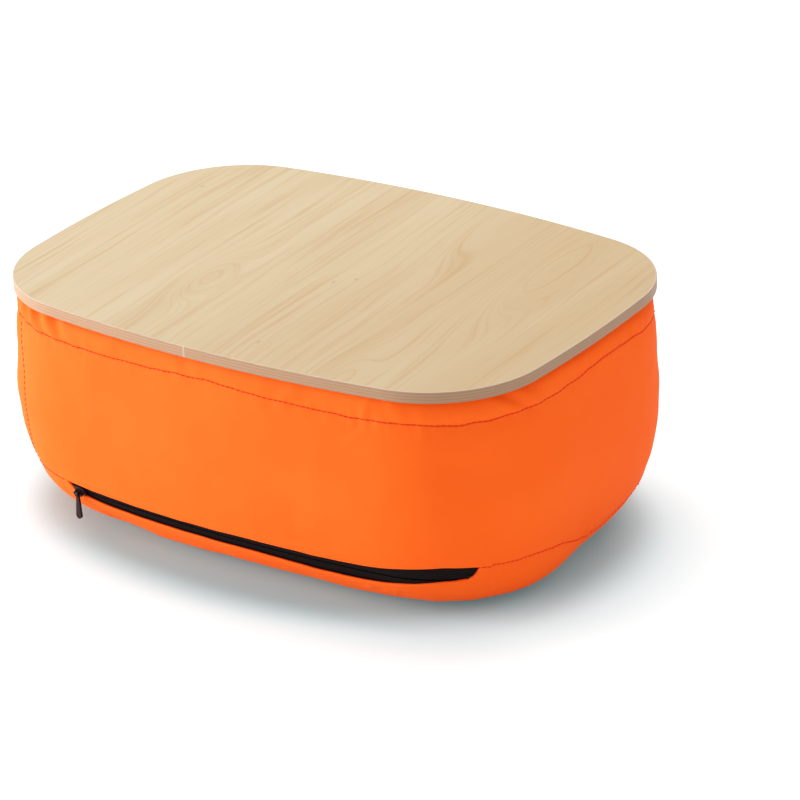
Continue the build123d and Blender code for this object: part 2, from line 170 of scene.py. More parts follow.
def wood_fibre():
    """Fine streaks along Y and broad soft bands, for every wooden face."""
    group, given, result = new_group(
        "wood fibre",
        [("Vector", "NodeSocketVector")],
        [("Streaks", "NodeSocketFloat"), ("Bands", "NodeSocketFloat")],
    )
    streaks = cloud(group, stretched(group, given.outputs["Vector"], 900, 22, 900), 4.0, 0.6)
    bands = cloud(group, stretched(group, given.outputs["Vector"], 34, 3, 34), 2.0)
    group.links.new(streaks, result.inputs["Streaks"])
    group.links.new(bands, result.inputs["Bands"])
    return group


fibre_group = wood_fibre()


def figure_bend():
    """How far one figure pushes the grain sideways: a long soft hump round its heart."""
    names = ("X", "Y", "Heart X", "Heart Y", "Width", "Length", "Rise")
    group, given, result = new_group(
        "figure bend", [(name, "NodeSocketFloat") for name in names], [("Bend", "NodeSocketFloat")]
    )
    across = calc(group, "SUBTRACT", given.outputs["X"], given.outputs["Heart X"])
    across = calc(group, "DIVIDE", across, given.outputs["Width"])
    along = calc(group, "SUBTRACT", given.outputs["Y"], given.outputs["Heart Y"])
    along = calc(group, "DIVIDE", along, given.outputs["Length"])
    total = calc(group, "MULTIPLY_ADD", across, across, calc(group, "MULTIPLY", along, along))
    push = calc(group, "EXPONENT", calc(group, "MULTIPLY", total, -1.0))
    group.links.new(calc(group, "MULTIPLY", push, given.outputs["Rise"]), result.inputs["Bend"])
    return group


def maple_face():
    finish, tree, shader = new_finish("maple_face", {"Coat Weight": 0.12, "Coat Roughness": 0.3})
    spot = place(tree)
    axes = add_node(tree, "ShaderNodeSeparateXYZ", {0: spot})
    wander = calc(tree, "SUBTRACT", cloud(tree, stretched(tree, spot, 18, 6, 0), 2.0), 0.5)
    waver = calc(tree, "SUBTRACT", cloud(tree, stretched(tree, spot, 90, 30, 0), 2.0), 0.5)
    x = calc(tree, "MULTIPLY_ADD", axes.outputs["Y"], maple_lean, axes.outputs["X"])
    x = calc(tree, "MULTIPLY_ADD", wander, maple_wander, x)
    x = calc(tree, "MULTIPLY_ADD", waver, maple_waver, x)
    group = figure_bend()
    rings = x
    for figure in maple_figures:
        bend = grouped(tree, group, x, axes.outputs["Y"], *figure)[0]
        rings = calc(tree, "ADD", rings, bend)
    ends = {0: calc(tree, "DIVIDE", rings, ring_pitch), 1: calc(tree, "MULTIPLY", axes.outputs["Y"], 5.0)}
    across = add_node(tree, "ShaderNodeCombineXYZ", ends).outputs[0]
    here = cloud(tree, stretched(tree, spot, 26, 9, 0), 2.0)
    growth = span(tree, cloud(tree, across, 3.0, 0.7), 0.46, 0.68)
    growth = calc(tree, "MULTIPLY", growth, span(tree, here, 0.32, 0.6, 0.45, 1.0))
    streaks, bands = grouped(tree, fibre_group, spot)
    # The face is paler on the left and tanner towards the right: partly the maple's own tone, partly
    # painted shade.
    side = span(tree, axes.outputs["X"], -0.16, 0.2)
    tone = calc(tree, "ADD", calc(tree, "MULTIPLY", side, 0.45), calc(tree, "MULTIPLY", bands, 0.9))
    base = mix(tree, span(tree, tone, 0.15, 1.1), shade(*maple_pale), shade(*maple_tan))
    lined = mix(tree, calc(tree, "MULTIPLY", growth, 0.5), base, shade(*maple_line))
    threads = calc(tree, "MULTIPLY", span(tree, streaks, 0.5, 0.75), 0.14)
    grained = mix(tree, threads, lined, shade(*maple_line))
    pins = 0.0
    for pin_x, pin_y in maple_pins:
        ends = {0: stretched(tree, spot, 1, 0.4, 0), 1: (pin_x, pin_y * 0.4, 0)}
        spread = add_node(tree, "ShaderNodeVectorMath", ends, operation="DISTANCE").outputs["Value"]
        near = span(tree, spread, *pin_fade, 0.4, 0.0)
        pins = calc(tree, "MAXIMUM", pins, near)
    colour = mix(tree, pins, grained, shade(*maple_pin))
    rough = calc(tree, "MULTIPLY_ADD", streaks, 0.16, maple_roughness - 0.08)
    tree.links.new(rough, shader.inputs["Roughness"])
    surfaced(tree, shader, colour, streaks, maple_relief, 0.6)
    return finish


def dress(node, finish):
    """A CAD piece takes a finish on every face."""
    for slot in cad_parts[node].material_slots:
        slot.material = finish


dress("top_laminate", maple_face())

# Under the face: a thin backing veneer, left plain, and between the two a core of five crossed plies.
# The core shows only in the hair-wide joint of the edge strip.
backing_pale = (214, 192, 158)
backing_dark = (184, 156, 118)
backing_relief = 0.00006
core_light = (196, 160, 120)
core_dark = (150, 112, 78)
core_low = 0.1436
core_ply = 0.00116


def backing_face():
    finish, tree, shader = new_finish("backing_veneer", {"Roughness": 0.6})
    streaks, bands = grouped(tree, fibre_group, place(tree))
    tone = calc(tree, "ADD", calc(tree, "MULTIPLY", streaks, 0.7), calc(tree, "MULTIPLY", bands, 0.5))
    colour = mix(tree, span(tree, tone, 0.4, 0.85), shade(*backing_pale), shade(*backing_dark))
    surfaced(tree, shader, colour, streaks, backing_relief, 0.8)
    return finish


def crossed_plies():
    finish, tree, shader = new_finish("crossed_plies", {"Roughness": 0.75})
    spot = place(tree)
    height = add_node(tree, "ShaderNodeSeparateXYZ", {0: spot}).outputs["Z"]
    ply = calc(tree, "DIVIDE", calc(tree, "SUBTRACT", height, core_low), 2 * core_ply)
    crossed = span(tree, calc(tree, "PINGPONG", ply, 0.5), 0.22, 0.28)
    grain = cloud(tree, stretched(tree, spot, 500, 500, 2500), 3.0)
    tone = calc(tree, "MULTIPLY_ADD", grain, 0.4, calc(tree, "MULTIPLY", crossed, 0.6))
    tree.links.new(mix(tree, tone, shade(*core_light), shade(*core_dark)), shader.inputs["Base Color"])
    return finish


dress("bottom_laminate", backing_face())
dress("tray_core", crossed_plies())

# The edge strip: wood-look edging with fine ply stripes, glued round the board and eased along its
# edges. Its two ends meet in a butt joint on the front, which shows as a pale upright line.
strip_body = (212, 166, 127)
strip_light = (220, 177, 140)
strip_dark = (198, 151, 120)
# Painted highlight: the colour of a paler line along the strip's top edge.
painted_edge_highlight = (240, 220, 192)
strip_low = 0.1436
strip_stripe = 0.00175
strip_joint = -0.012
joint_fade = (0.0003, 0.0008)
strip_seam = (246, 226, 200)
painted_highlight_heights = (0.1494, 0.1499)
strip_relief = 0.00003


def edge_stripes():
    finish, tree, shader = new_finish("edge_stripes", {"Roughness": 0.5, "Coat Weight": 0.05})
    spot = place(tree)
    axes = add_node(tree, "ShaderNodeSeparateXYZ", {0: spot})
    fleck = cloud(tree, stretched(tree, spot, 160, 160, 1800), 3.0, 0.6)
    rise = calc(tree, "DIVIDE", calc(tree, "SUBTRACT", axes.outputs["Z"], strip_low), strip_stripe)
    shifted = calc(tree, "ADD", rise, calc(tree, "MULTIPLY", calc(tree, "SUBTRACT", fleck, 0.5), 0.3))
    wave = calc(tree, "PINGPONG", shifted, 0.5)
    body = mix(tree, span(tree, wave, 0.3, 0.42), shade(*strip_body), shade(*strip_light))
    line = mix(tree, span(tree, wave, 0.05, 0.18, 0.5, 0.0), body, shade(*strip_dark))
    flecked = mix(tree, span(tree, fleck, 0.55, 0.8, 0.0, 0.35), line, shade(*strip_dark))
    # Painted highlight: the strip's top edge is paler.
    painted_highlight = span(tree, axes.outputs["Z"], *painted_highlight_heights, 0.0, 0.7)
    flecked = mix(tree, painted_highlight, flecked, shade(*painted_edge_highlight))
    near = calc(tree, "ABSOLUTE", calc(tree, "SUBTRACT", axes.outputs["X"], strip_joint))
    front = calc(tree, "LESS_THAN", axes.outputs["Y"], 0.0)
    seam = calc(tree, "MULTIPLY", span(tree, near, *joint_fade, 0.8, 0.0), front)
    colour = mix(tree, seam, flecked, shade(*strip_seam))
    surfaced(tree, shader, colour, fleck, strip_relief, 0.5)
    return finish


dress("edge_band", edge_stripes())

# Hook tapes are glued under the board and loop tapes sewn on the cushion, so the board lifts off
# and the cover can be washed. The hooks stand in rows; the loops are a brushed pile.
tape_black = (26, 25, 26)
tape_grey = (58, 57, 58)
hook_pitch = 0.0016
tape_relief = 0.0004


def tape_face(name, hooked):
    finish, tree, shader = new_finish(name, {"Roughness": 0.85, "Sheen Weight": 0.0 if hooked else 0.3})
    spot = place(tree)
    if hooked:
        cells = {"Vector": spot, "Scale": 1 / hook_pitch, "Randomness": 0.15}
        distance = add_node(tree, "ShaderNodeTexVoronoi", cells).outputs["Distance"]
        height = span(tree, distance, 0.2, 0.42, 1.0, 0.0)
    else:
        height = cloud(tree, stretched(tree, spot, 1800, 1800, 1800), 4.0, 0.7)
    colour = mix(tree, height, shade(*tape_black), shade(*tape_grey))
    surfaced(tree, shader, colour, height, tape_relief)
    return finish


hook_finish = tape_face("hook_rows", True)
loop_finish = tape_face("loop_pile", False)
for side in ("front", "back", "left", "right"):
    dress("hook_tape_" + side, hook_finish)
    dress("loop_tape_" + side, loop_finish)

# The cushion: a bag of beads, oval with bowed sides. Seen from above it is eight arcs, and seen from
# the side a foot, a tall side, a shoulder and a shallow dish that the board lies over.
cushion_length = 0.371
cushion_width = 0.262
corner_radius = 0.081
long_bow = 0.0185
short_bow = 0.015
board_underside = 0.143
dish_height = 0.141
top_seam_height = 0.129
foot_seam_height = 0.0335
widest_share = 0.659
widest_height = widest_share * top_seam_height
foot_radius = 0.043
foot_lean = radians(22)
shoulder_lean = radians(7)
board_gap = 0.0003
shoulder_top = board_underside - board_gap
dish_radius = 0.038
cloth_thickness = 0.0008


def outline_arcs():
    """The outline's arcs from the middle of the front, to the right: radius and turn."""
    half_length = cushion_length / 2
    half_width = cushion_width / 2
    long_radius = (half_length**2 + long_bow**2) / (2 * long_bow)
    short_radius = (half_width**2 + short_bow**2) / (2 * short_bow)
    long_centre = half_width - long_radius
    short_centre = half_length - short_radius
    apart = hypot(short_centre, long_centre)
    to_long = long_radius - corner_radius
    to_short = short_radius - corner_radius
    along = (apart**2 + to_long**2 - to_short**2) / (2 * apart)
    across = sqrt(to_long**2 - along**2)
    x = (short_centre * along - long_centre * across) / apart
    y = long_centre + (-long_centre * along - short_centre * across) / apart
    long_half = pi / 2 - atan2(y - long_centre, x)
    short_half = atan2(y, x - short_centre)
    front = (long_radius, long_half)
    corner = (corner_radius, pi / 2 - long_half - short_half)
    end = (short_radius, 2 * short_half)
    back = (long_radius, 2 * long_half)
    return [front, corner, end, corner, back, corner, end, corner, front]


outline_steps = 4096
outline_blend = 0.017


def soft_outline():
    """The arcs run softly into one another: places around, points, and the way the cloth faces there."""
    radii, turns = np.array(outline_arcs()).T
    starts = np.concatenate([[0], np.cumsum(radii * turns)])
    angles = -pi / 2 + np.concatenate([[0], np.cumsum(turns)])
    whole = starts[-1]
    around = np.arange(outline_steps) * whole / outline_steps
    arc = np.searchsorted(starts, around, side="right") - 1
    even = 2 * pi * around / whole
    uneven = angles[arc] + (around - starts[arc]) / radii[arc] - even
    reach = round(outline_blend / whole * outline_steps)
    for _ in range(2):
        uneven = sum(np.roll(uneven, shift) for shift in range(-reach, reach + 1)) / (2 * reach + 1)
    facing = even + uneven
    steps = np.stack([-np.sin(facing), np.cos(facing)], -1) * whole / outline_steps
    points = np.cumsum((steps + np.roll(steps, 1, 0)) / 2, axis=0)
    points -= points.mean(0)
    closed = np.concatenate([points, points[:1]])
    return np.append(around, whole), closed, np.append(facing, facing[0] + 2 * pi)


outline_around, outline_points, outline_facing = soft_outline()
girth = outline_around[-1]


def side_bends():
    """The side's arcs from the foot up: centre out, centre height, radius, lean at each end."""
    foot_side = foot_radius * (1 - sin(foot_lean))
    lower = (widest_height - foot_side) / sin(foot_lean)
    upper = (top_seam_height - widest_height) / sin(shoulder_lean)
    shoulder = (shoulder_top - top_seam_height) / (1 - sin(shoulder_lean))
    foot_out = -(lower * (1 - cos(foot_lean)) + foot_radius * cos(foot_lean))
    shoulder_out = -upper * (1 - cos(shoulder_lean)) - shoulder * cos(shoulder_lean)
    turn = acos(1 - (shoulder_top - dish_height) / (2 * dish_radius))
    dish_out = shoulder_out - 2 * dish_radius * sin(turn)
    return [
        (foot_out, foot_radius, foot_radius, -pi / 2, -foot_lean),
        (-lower, widest_height, lower, -foot_lean, 0),
        (-upper, widest_height, upper, 0, shoulder_lean),
        (shoulder_out, shoulder_top - shoulder, shoulder, shoulder_lean, pi / 2),
        (shoulder_out, shoulder_top - dish_radius, dish_radius, pi / 2, pi / 2 + turn),
        (dish_out, dish_height + dish_radius, -dish_radius, pi / 2 + turn, pi / 2),
    ]


bends = np.array(side_bends())
bend_lengths = bends[:, 2] * (bends[:, 4] - bends[:, 3])
bend_starts = np.concatenate([[0], np.cumsum(bend_lengths)])
top_seam_up = bend_starts[3]
shoulder_up = bend_starts[4]
dish_up = bend_starts[6]


def up_at(height):
    """How far up the cloth a height on the lower side is."""
    return bend_starts[1] + bends[1, 2] * (foot_lean - asin((widest_height - height) / bends[1, 2]))


foot_seam_up = up_at(foot_seam_height)


def cloth(around, up, lift):
    """Points on the cushion's face, around its outline and up along the cloth, and their normals."""
    around, up = np.broadcast_arrays(np.asarray(around, float) % girth, up)
    angle = np.interp(around, outline_around, outline_facing)
    bend = np.clip(np.searchsorted(bend_starts, up, side="right") - 1, 0, len(bends) - 1)
    lean = bends[bend, 3] + (up - bend_starts[bend]) / bends[bend, 2]
    out = bends[bend, 0] + bends[bend, 2] * np.cos(lean)
    points = np.stack(
        [
            np.interp(around, outline_around, outline_points[:, 0]) + out * np.cos(angle),
            np.interp(around, outline_around, outline_points[:, 1]) + out * np.sin(angle),
            bends[bend, 1] + bends[bend, 2] * np.sin(lean),
        ],
        -1,
    )
    normals = np.stack([np.cos(angle) * np.cos(lean), np.sin(angle) * np.cos(lean), np.sin(lean)], -1)
    return points + normals * np.broadcast_to(lift, around.shape)[..., None], normals


def new_piece(name, points, faces, finish, smooth=True):
    """A mesh object from points and faces, with its finish."""
    mesh = bpy.data.meshes.new(name)
    mesh.from_pydata(np.asarray(points).reshape(-1, 3).tolist(), [], faces)
    mesh.materials.append(finish)
    mesh.polygons.foreach_set("use_smooth", [smooth] * len(mesh.polygons))
    mesh.update()
    piece = bpy.data.objects.new(name, mesh)
    bpy.context.scene.collection.objects.link(piece)
    return piece


def band_faces(first, rows, columns, flip=False):
    """The faces of a grid of points that closes round the cushion, its rows going up."""
    row, column = np.meshgrid(np.arange(rows - 1), np.arange(columns), indexing="ij")
    following = (column + 1) % columns
    corners = [row * columns + column, row * columns + following]
    corners += [(row + 1) * columns + following, (row + 1) * columns + column]
    if flip:
        corners.reverse()
    return (first + np.stack([c.ravel() for c in corners], -1)).tolist()


def ring_face(first, columns, flip=False):
    """One face over a row of points."""
    ring = list(range(first, first + columns))
    return ring[::-1] if flip else ring


# Filling the bag swells its cloth between the seams, which stay where they are sewn. The swelling is
# a cloth simulation of the whole bag under a light pressure, kept as a soft field over its face.
swell_columns = 136
swell_step = 0.008
swell_slack = 0.0022
swell_fullness = -0.03
swell_most = 0.004
swell_share = 0.3
swell_frames = 20
swell_pressure = 4.0
swell_mass = 0.03
swell_stiffness = 8
swell_bending = 2
swell_quality = 6
swell_smoothings = 8


def swell_rows():
    """Places up the cloth, with a row on each seam."""
    marks = (0, foot_seam_up, top_seam_up, dish_up)
    rows = [np.zeros(1)]
    for low, high in zip(marks, marks[1:]):
        rows.append(np.linspace(low, high, max(2, round((high - low) / swell_step)) + 1)[1:])
    return np.concatenate(rows)


def panel_share(up):
    """Nothing on a seam and one midway between two seams."""
    share = np.zeros_like(up)
    for low, high in ((0, foot_seam_up), (foot_seam_up, top_seam_up), (top_seam_up, dish_up)):
        inside = (up > low) & (up < high)
        share = np.where(inside, np.sin(pi * (up - low) / (high - low)), share)
    return share


def swollen_bag():
    """How much more than its row each place of the bag swells, in metres, rows up by columns around."""
    up = swell_rows()
    around = np.arange(swell_columns) * girth / swell_columns
    slack = panel_share(up)[:, None] * swell_slack
    start, normals = cloth(around[None, :], up[:, None], -slack)
    faces = band_faces(0, len(up), swell_columns)
    faces.append(ring_face(0, swell_columns, flip=True))
    faces.append(ring_face((len(up) - 1) * swell_columns, swell_columns))
    plain = bpy.data.materials.new("swelling")
    bag = new_piece("swelling_bag", start, faces, plain)
    seams = [0, len(up) - 1]
    seams += [int(np.argmin(abs(up - mark))) for mark in (foot_seam_up, top_seam_up)]
    sewn = bag.vertex_groups.new(name="sewn")
    for row in seams:
        sewn.add(list(range(row * swell_columns, (row + 1) * swell_columns)), 1.0, "REPLACE")
    cloth_physics = bag.modifiers.new("swelling", "CLOTH")
    settings = cloth_physics.settings
    settings.use_pressure = True
    settings.uniform_pressure_force = swell_pressure
    settings.vertex_group_mass = "sewn"
    settings.effector_weights.gravity = 0.0
    settings.mass = swell_mass
    settings.shrink_min = swell_fullness
    settings.tension_stiffness = swell_stiffness
    settings.compression_stiffness = swell_stiffness
    settings.bending_stiffness = swell_bending
    settings.quality = swell_quality
    cloth_physics.point_cache.frame_start = 1
    cloth_physics.point_cache.frame_end = swell_frames
    scene = bpy.context.scene
    for step in range(1, swell_frames + 1):
        scene.frame_set(step)
    swollen = bag.evaluated_get(bpy.context.evaluated_depsgraph_get())
    ends = np.empty(len(bag.data.vertices) * 3)
    swollen.data.vertices.foreach_get("co", ends)
    moved = ((ends.reshape(start.shape) - start) * normals).sum(-1)
    bpy.data.objects.remove(bag)
    scene.frame_set(1)
    moved = np.clip(moved, -swell_most, swell_most)
    for _ in range(swell_smoothings):
        moved = (np.roll(moved, 1, 1) + 2 * moved + np.roll(moved, -1, 1)) / 4
    moved = (moved - moved.mean(1, keepdims=True)) * swell_share
    moved[seams] = 0
    return up, moved


swell_up, swell_field = swollen_bag()


def swelling(around, up):
    """The field between its places."""
    column = (np.asarray(around) % girth) / girth * swell_columns
    left = np.floor(column).astype(int)
    share = column - left
    row = np.clip(np.searchsorted(swell_up, up, side="right") - 1, 0, len(swell_up) - 2)
    rise = np.clip((up - swell_up[row]) / (swell_up[row + 1] - swell_up[row]), 0, 1)
    left = left % swell_columns
    right = (left + 1) % swell_columns
    low = swell_field[row, left] * (1 - share) + swell_field[row, right] * share
    high = swell_field[row + 1, left] * (1 - share) + swell_field[row + 1, right] * share
    return low * (1 - rise) + high * rise


# The cover: three panels of plain-woven orange polyester, 0.8 mm thick, sewn right sides together so
# that each seam is a groove with rolled edges. The side panel's ends meet in an upright seam.
cover_orange = (252, 131, 40)
cover_deep = (250, 122, 34)
cover_sheen = (255, 170, 100)
# Painted light: the cover and its thread glow red, seen by the camera alone, though they are no lamp.
painted_red_glow = (1.0, 0.03, 0.0, 1.0)
painted_red_glow_strength = 0.42
weave_pitch = 0.0006
weave_relief = 0.00005
seam_half_gap = 0.0001
edge_roll = 0.0006
seam_dip = 0.0005
seam_dip_reach = 0.005
column_pitch = 0.0022
fine_pitch = 0.0007
fine_left = (-0.172, -0.104)
fine_right = (0.094, 0.213)
edge_rows = (0.0, 0.00015, 0.0004, 0.0008, 0.0013, 0.002, 0.003, 0.0045, 0.0065)
shoulder_fullness = (0.0012, 0.0038)
shoulder_front = 0.19
zipper_middle = 0.0275
zipper_half_length = 0.157
zipper_half_height = 0.0145
zipper_drop = 0.0057
zipper_fade = 0.004
zipper_lift = 0.0005
cap_rings = (0.96, 0.88, 0.75, 0.6, 0.45, 0.3, 0.15, 0.02)
corner_seam_around = -0.159
corner_seam_bow = 0.009
corner_seam_reach = 0.004
gather_reach = 0.007
ground_fade = (0.006, 0.02)
shoulder_fade = 0.008
# Where a seam wanders from its true line: place around, how far it rises, how far that reaches.
top_wander = ((0.0, 0.0024, 0.045), (0.165, -0.0012, 0.018), (0.285, 0.0042, 0.05), (0.62, 0.0012, 0.06))
foot_wander = (
    (-0.045, -0.001, 0.05),
    (0.15, 0.005, 0.034),
    (0.285, -0.0155, 0.038),
    (0.345, -0.011, 0.035),
    (0.45, 0.002, 0.05),
    (0.66, -0.002, 0.07),
    (0.82, 0.0015, 0.05),
)
# Where the bag stands fuller than its plain form: place around and up, reach around and up, rise.
full_places = ((0.238, 0.031, 0.05, 0.022, 0.0042), (-0.181, 0.08, 0.05, 0.045, 0.0027))
# The zipper's opening under the foot seam: place around and how far the lower lip hangs open there.
lip_line = (
    (-0.121, 0.0), (-0.1135, 0.0072), (-0.104, 0.0084), (-0.088, 0.0098), (-0.03, 0.01),
    (0.03, 0.0108), (0.06, 0.0124), (0.09, 0.0132), (0.13, 0.013), (0.155, 0.0114),
    (0.1665, 0.0094), (0.17, 0.0072), (0.172, 0.0042), (0.1735, 0.0),
)
lip_places, lip_gapes = zip(*lip_line)
# Soft irregular waves in the cloth and its seams: rise, seed, finest and coarsest length.
broad_waves = (0.0004, 1, 0.05, 0.16)
fine_waves = (0.00016, 2, 0.018, 0.05)
gathers = (0.00018, 3, 0.006, 0.012)
top_kinks = (0.0003, 11, 0.012, 0.03)
foot_kinks = (0.0002, 12, 0.014, 0.035)
wave_count = 28
gather_stretch = 0.35
# Folds in the cloth: place around, place up from the top seam, turn from upright, length, width, rise.
shoulder_folds = (
    (-0.151, 0.007, -0.6, 0.009, 0.0022, 0.0012),
    (-0.143, 0.007, -0.65, 0.009, 0.0022, -0.0012),
    (-0.135, 0.007, -0.7, 0.009, 0.0022, 0.0014),
    (-0.127, 0.007, -0.7, 0.009, 0.0022, -0.0013),
    (-0.118, 0.007, -0.75, 0.009, 0.0024, 0.0013),
    (-0.109, 0.007, -0.75, 0.008, 0.0024, -0.001),
    (-0.166, 0.003, 0.2, 0.009, 0.0018, -0.0008),
    (-0.07, 0.006, 0.9, 0.012, 0.004, 0.0005),
    (-0.02, 0.005, -0.8, 0.012, 0.004, 0.0004),
    (0.06, 0.006, 0.8, 0.010, 0.0035, 0.0005),
    (0.1, -0.006, 1.1, 0.011, 0.003, -0.0006),
    (0.108, 0.004, 0.5, 0.007, 0.0026, 0.0007),
    (0.122, 0.004, -0.6, 0.007, 0.0026, -0.0006),
    (0.192, 0.005, -1.1, 0.011, 0.0022, 0.0014),
    (0.195, 0.0095, -1.1, 0.011, 0.0022, -0.0014),
    (0.209, 0.006, -0.9, 0.009, 0.0024, 0.0012),
    (0.262, 0.005, 0.8, 0.009, 0.003, 0.0006),
    (0.31, 0.004, -0.7, 0.009, 0.003, -0.0005),
    (0.42, 0.005, 0.5, 0.009, 0.003, 0.0007),
    (0.56, 0.006, -0.6, 0.010, 0.0035, 0.0006),
    (0.71, 0.005, 0.6, 0.009, 0.003, -0.0006),
    (0.85, 0.005, -0.5, 0.009, 0.003, 0.0007),
)
# The same under the foot seam, with the place up from that seam.
foot_folds = (
    (0.1, -0.0175, 0.8, 0.005, 0.0018, 0.0011),
    (0.108, -0.018, 0.7, 0.005, 0.0018, -0.001),
    (0.118, -0.0185, 0.6, 0.006, 0.002, 0.0011),
    (0.13, -0.018, 0.5, 0.005, 0.002, -0.001),
    (0.16, -0.0145, -0.5, 0.006, 0.002, 0.0011),
    (0.167, -0.013, -0.35, 0.007, 0.0018, -0.0012),
    (0.174, -0.008, -0.2, 0.007, 0.0018, 0.0008),
    (0.181, -0.006, 0.2, 0.006, 0.0018, -0.0007),
    (0.189, -0.006, 0.4, 0.006, 0.002, 0.0006),
    (0.268, 0.004, 0.2, 0.007, 0.002, -0.0008),
    (0.274, 0.004, -0.2, 0.007, 0.002, 0.0007),
    (-0.126, -0.004, 0.2, 0.006, 0.002, -0.0006),
)


def apart_from(around, middle):
    """How far each place is from a middle, the shorter way round the cushion."""
    return (around - middle + girth / 2) % girth - girth / 2


def hump(distance):
    """One at no distance, falling softly away."""
    return np.exp(-(distance**2))


def wandering(around, wander):
    """A seam's rise or fall around the cushion."""
    total = np.zeros_like(around)
    for middle, rise, reach in wander:
        total += rise * hump(apart_from(around, middle) / reach)
    return total


def drift(around, up, rise, seed, finest, coarsest):
    """Soft irregular waves that close round the cushion."""
    chance = np.random.default_rng(seed)
    total = 0
    for _ in range(wave_count):
        length = exp(chance.uniform(log(finest), log(coarsest)))
        turn = chance.uniform(-pi / 2, pi / 2)
        rounds = round(girth / length * cos(turn))
        phase = chance.uniform(0, 2 * pi)
        total = total + np.sin(2 * pi * (rounds * around / girth + up * sin(turn) / length) + phase)
    return rise * (total / sqrt(wave_count))


def top_line(around):
    """How far up the cloth the top seam is."""
    return top_seam_up + wandering(around, top_wander) + drift(around, 0.0, *top_kinks)


def foot_line(around):
    """How far up the cloth the foot seam is."""
    return foot_seam_up + wandering(around, foot_wander) + drift(around, 0.0, *foot_kinks)


def lip_gape(around):
    """How far the zipper's opening hangs down from the foot seam."""
    return np.interp(apart_from(around, 0), lip_places, lip_gapes)


def folded(around, up, folds, line):
    """The relief of a list of folds, each a ridge or a hollow with a dip on one side."""
    total = np.zeros(np.broadcast(around, up).shape)
    for middle, rise, turn, length, width, height in folds:
        apart = apart_from(around, middle)
        above = up - line - rise
        along = above * cos(turn) + apart * sin(turn)
        across = apart * cos(turn) - above * sin(turn)
        swell = hump(across / width) - 0.5 * hump((across - 2 * width) / width)
        total += height * swell * hump(along / length)
    return total


def fuller(around, up):
    """How much fuller the bag stands in places."""
    total = 0
    for middle, middle_up, reach, reach_up, rise in full_places:
        total = total + rise * hump(apart_from(around, middle) / reach) * hump((up - middle_up) / reach_up)
    return total


def near_zipper(around, up):
    """One over the zipper tapes, fading to nothing beside them."""
    apart = apart_from(around, 0)
    along = np.clip((zipper_half_length - abs(apart - zipper_middle)) / zipper_fade, 0, 1)
    level = np.clip((zipper_half_height - abs(up - foot_seam_up + zipper_drop)) / zipper_fade, 0, 1)
    share = along * level
    return share * share * (3 - 2 * share)


def relief(around, up):
    """How far the cloth stands off its plain shape, apart from its rolled edges."""
    top = up - top_line(around)
    foot = up - foot_line(around)
    soft = drift(around, up, *broad_waves) + drift(around, up, *fine_waves)
    puckers = drift(around, gather_stretch * up, *gathers)
    gathered = hump(top / gather_reach) + hump(foot / gather_reach)
    upright = apart_from(around, corner_seam_line(up)) / corner_seam_reach
    upright_dip = np.where((foot > 0) & (top < 0), hump(upright), 0)
    dip = seam_dip * (hump(top / seam_dip_reach) + hump(foot / seam_dip_reach) + upright_dip)
    folds = folded(around, up, shoulder_folds, top_line(around))
    folds += folded(around, up, foot_folds, foot_line(around))
    total = soft + puckers * gathered - dip + folds + swelling(around, up) + fuller(around, up)
    rest = np.clip((up - ground_fade[0]) / ground_fade[1], 0, 1)
    rest = rest * np.clip((shoulder_up - up) / shoulder_fade, 0, 1)
    over = near_zipper(around, up)
    full = shoulder_fullness[0] + shoulder_fullness[1] * hump((apart_from(around, 0) / shoulder_front) ** 2)
    full = full * np.sin(pi * np.clip((up - top_seam_up) / (shoulder_up - top_seam_up), 0, 1))
    return total * rest * (1 - over) + zipper_lift * over + full


def corner_seam_line(up):
    """The upright seam bows a little to the right at mid height."""
    share = np.clip((up - foot_seam_up) / (top_seam_up - foot_seam_up), 0, 1)
    return corner_seam_around + corner_seam_bow * np.sin(pi * share)


def rolled(distance):
    """How deep a panel's edge is at a distance from it: a quarter round."""
    share = np.clip(1 - distance / edge_roll, 0, 1)
    return edge_roll * (1 - np.sqrt(1 - share**2))


def row_places(length, bottom, top):
    """Places along a panel's rise, close together beside an edge that is sewn or open."""
    near = np.array(edge_rows)
    low = np.zeros(1) if bottom else near
    high = np.full(1, length) if top else length - near[::-1]
    steps = max(2, round((high[0] - low[-1]) / column_pitch))
    return np.concatenate([low, np.linspace(low[-1], high[0], steps + 1)[1:-1], high])


def column_places():
    """Places around the outline, closer together at the zipper's ends and the folds beside them."""
    plain = np.arange(0, girth, column_pitch)
    left = np.arange(*fine_left, fine_pitch) + girth
    right = np.arange(*fine_right, fine_pitch)
    kept = plain[((plain < right[0]) | (plain > right[-1])) & ((plain < left[0]) | (plain > left[-1]))]
    return np.sort(np.concatenate([kept, left, right]))


def capped(points, inward, low_closed, high_closed):
    """A grid of points with more rows that close an end towards its middle."""
    caps = []
    for edge in (points[0], points[-1]):
        middle = edge.mean(0)
        caps.append(np.stack([middle + (edge - middle) * share for share in inward]))
    low = [caps[0][::-1]] if low_closed else []
    high = [caps[1]] if high_closed else []
    return np.concatenate([*low, points, *high])


def rim_faces(first, apart, columns, flip):
    """Faces that join a row of points to the same row of the grid behind it."""
    faces = []
    for column in range(columns):
        edge = [first + column, first + (column + 1) % columns]
        edge += [apart + edge[1], apart + edge[0]]
        faces.append(edge[::-1] if flip else edge)
    return faces


